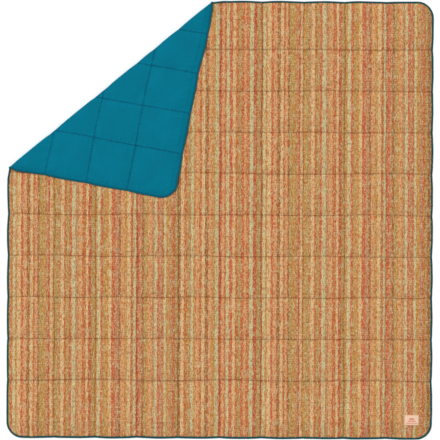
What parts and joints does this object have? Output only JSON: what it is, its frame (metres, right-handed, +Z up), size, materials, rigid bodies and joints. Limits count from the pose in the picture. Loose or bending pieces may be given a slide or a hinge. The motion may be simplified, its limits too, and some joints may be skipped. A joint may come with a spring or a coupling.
{
  "type": "quilted camp blanket",
  "caption": "Large quilted blanket laid flat, striped printed face and teal back, bound edge, one corner folded over; the corner unfolds and the blanket folds in half.",
  "frame": {"origin": "on the floor under the middle of the blanket laid flat", "axes": "+Z up out of the printed face, +Y along the length towards the edge with the folded corner, +X across the width away from the folded corner"},
  "size_m": [2.06, 2.12, 0.0243],
  "materials": {
    "face_fabric": "matte",
    "back_fabric": "matte",
    "fill": "matte",
    "edge_binding": "matte",
    "binding_thread": "matte",
    "quilting_thread": "matte",
    "woven_label": "matte",
    "label_thread": "matte"
  },
  "bodies": {
    "left_half": {"back_fabric_left": "back_fabric", "binding_stitching_left": "binding_thread", "binding_stitching_top_centre": "binding_thread", "edge_binding_left": "edge_binding", "edge_binding_top_centre": "edge_binding", "face_fabric_left": "face_fabric", "fill_left": "fill", "quilting_cross_row_1_left": "quilting_thread", "quilting_cross_row_2_left": "quilting_thread", "quilting_cross_row_3_left": "quilting_thread", "quilting_cross_row_4_left": "quilting_thread", "quilting_cross_row_5_left": "quilting_thread", "quilting_cross_row_6_left": "quilting_thread", "quilting_cross_row_7_left": "quilting_thread", "quilting_cross_row_8_left": "quilting_thread", "quilting_cross_row_9_left": "quilting_thread", "quilting_length_row_1": "quilting_thread", "quilting_length_row_2": "quilting_thread", "quilting_length_row_3": "quilting_thread", "quilting_length_row_4": "quilting_thread", "quilting_length_row_5": "quilting_thread"},
    "right_half": {"back_fabric_right": "back_fabric", "binding_stitching_right": "binding_thread", "edge_binding_right": "edge_binding", "face_fabric_right": "face_fabric", "fill_right": "fill", "label_stitching": "label_thread", "quilting_cross_row_1_right": "quilting_thread", "quilting_cross_row_2_right": "quilting_thread", "quilting_cross_row_3_right": "quilting_thread", "quilting_cross_row_4_right": "quilting_thread", "quilting_cross_row_5_right": "quilting_thread", "quilting_cross_row_6_right": "quilting_thread", "quilting_cross_row_7_right": "quilting_thread", "quilting_cross_row_8_right": "quilting_thread", "quilting_cross_row_9_right": "quilting_thread", "quilting_length_row_6": "quilting_thread", "quilting_length_row_7": "quilting_thread", "quilting_length_row_8": "quilting_thread", "quilting_length_row_9": "quilting_thread", "woven_label": "woven_label"},
    "corner": {"back_fabric_corner": "back_fabric", "binding_stitching_corner": "binding_thread", "edge_binding_corner": "edge_binding", "face_fabric_corner": "face_fabric", "fill_corner": "fill", "quilting_cross_row_1_corner": "quilting_thread", "quilting_cross_row_2_corner": "quilting_thread", "quilting_cross_row_3_corner": "quilting_thread", "quilting_length_row_1_corner": "quilting_thread", "quilting_length_row_2_corner": "quilting_thread", "quilting_length_row_3_corner": "quilting_thread", "quilting_length_row_4_corner": "quilting_thread"}
  },
  "joints": [
    {"name": "corner_fold", "type": "hinge", "parent": "left_half", "child": "corner", "pos_m": [-0.5305, 0.649, 0.01215], "axis": [-0.7722, -0.6354, 0], "range_deg": [0, 179.9]},
    {"name": "half_fold", "type": "hinge", "parent": "left_half", "child": "right_half", "pos_m": [0, 0, 0.0204], "axis": [0, -1, 0], "range_deg": [0, 179.9]}
  ]
}
